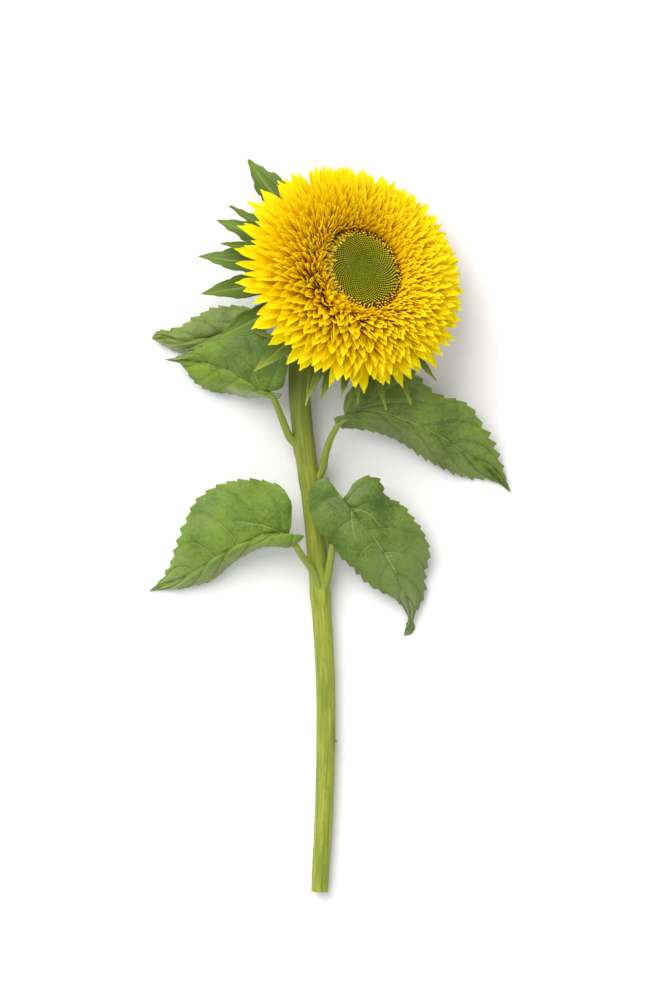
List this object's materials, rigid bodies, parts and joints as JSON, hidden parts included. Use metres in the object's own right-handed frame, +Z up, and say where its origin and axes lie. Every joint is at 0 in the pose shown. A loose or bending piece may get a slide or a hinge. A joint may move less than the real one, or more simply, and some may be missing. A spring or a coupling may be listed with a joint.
{
  "type": "cut double-flowered sunflower",
  "caption": "Cut sunflower lying on a surface: a bare stem with toothed heart-shaped leaves and a nodding, densely double yellow head round a green eye.",
  "frame": {"origin": "on the surface the flower lies on, under the middle of its bounding box", "axes": "+Y along the stem from the cut end towards the head, +Z up off the surface, +X to the right seen from above with the head at the top"},
  "size_m": [0.1978, 0.3988, 0.0868],
  "materials": {
    "stem": "fresh yellow-green stalk, faintly ridged and hairy, satin",
    "leaf": "fresh green leaf, matte, finely veined, paler underneath",
    "receptacle": "green fleshy base, matte",
    "buds": "unopened florets, matte olive green with yellow and brown tips",
    "florets": "soft bright yellow petals, matte, deeper gold towards the middle",
    "bract": "green pointed bracts, matte, slightly hairy"
  },
  "bodies": {
    "root": {"stem": "stem", "leaf_lower_left": "leaf", "leaf_lower_right": "leaf", "leaf_upper_left": "leaf", "leaf_upper_right": "leaf", "leaf_topmost": "leaf", "receptacle": "receptacle", "eye_of_buds": "buds", "floret_whorl_01": "florets", "floret_whorl_02": "florets", "floret_whorl_03": "florets", "floret_whorl_04": "florets", "floret_whorl_05": "florets", "floret_whorl_06": "florets", "floret_whorl_07": "florets", "floret_whorl_08": "florets", "floret_whorl_09": "florets", "ray_floret_01": "florets", "ray_floret_02": "florets", "ray_floret_03": "florets", "ray_floret_04": "florets", "ray_floret_05": "florets", "ray_floret_06": "florets", "ray_floret_07": "florets", "ray_floret_08": "florets", "ray_floret_09": "florets", "ray_floret_10": "florets", "ray_floret_11": "florets", "ray_floret_12": "florets", "ray_floret_13": "florets", "ray_floret_14": "florets", "ray_floret_15": "florets", "ray_floret_16": "florets", "ray_floret_17": "florets", "ray_floret_18": "florets", "ray_floret_19": "florets", "ray_floret_20": "florets", "ray_floret_21": "florets", "bract_01": "bract", "bract_02": "bract", "bract_03": "bract", "bract_04": "bract", "bract_05": "bract", "bract_06": "bract", "bract_07": "bract", "bract_08": "bract", "bract_09": "bract", "bract_10": "bract", "bract_11": "bract", "bract_12": "bract", "bract_13": "bract", "bract_14": "bract", "bract_15": "bract", "bract_16": "bract", "bract_17": "bract", "bract_18": "bract", "bract_19": "bract", "bract_20": "bract", "bract_21": "bract"}
  },
  "joints": []
}
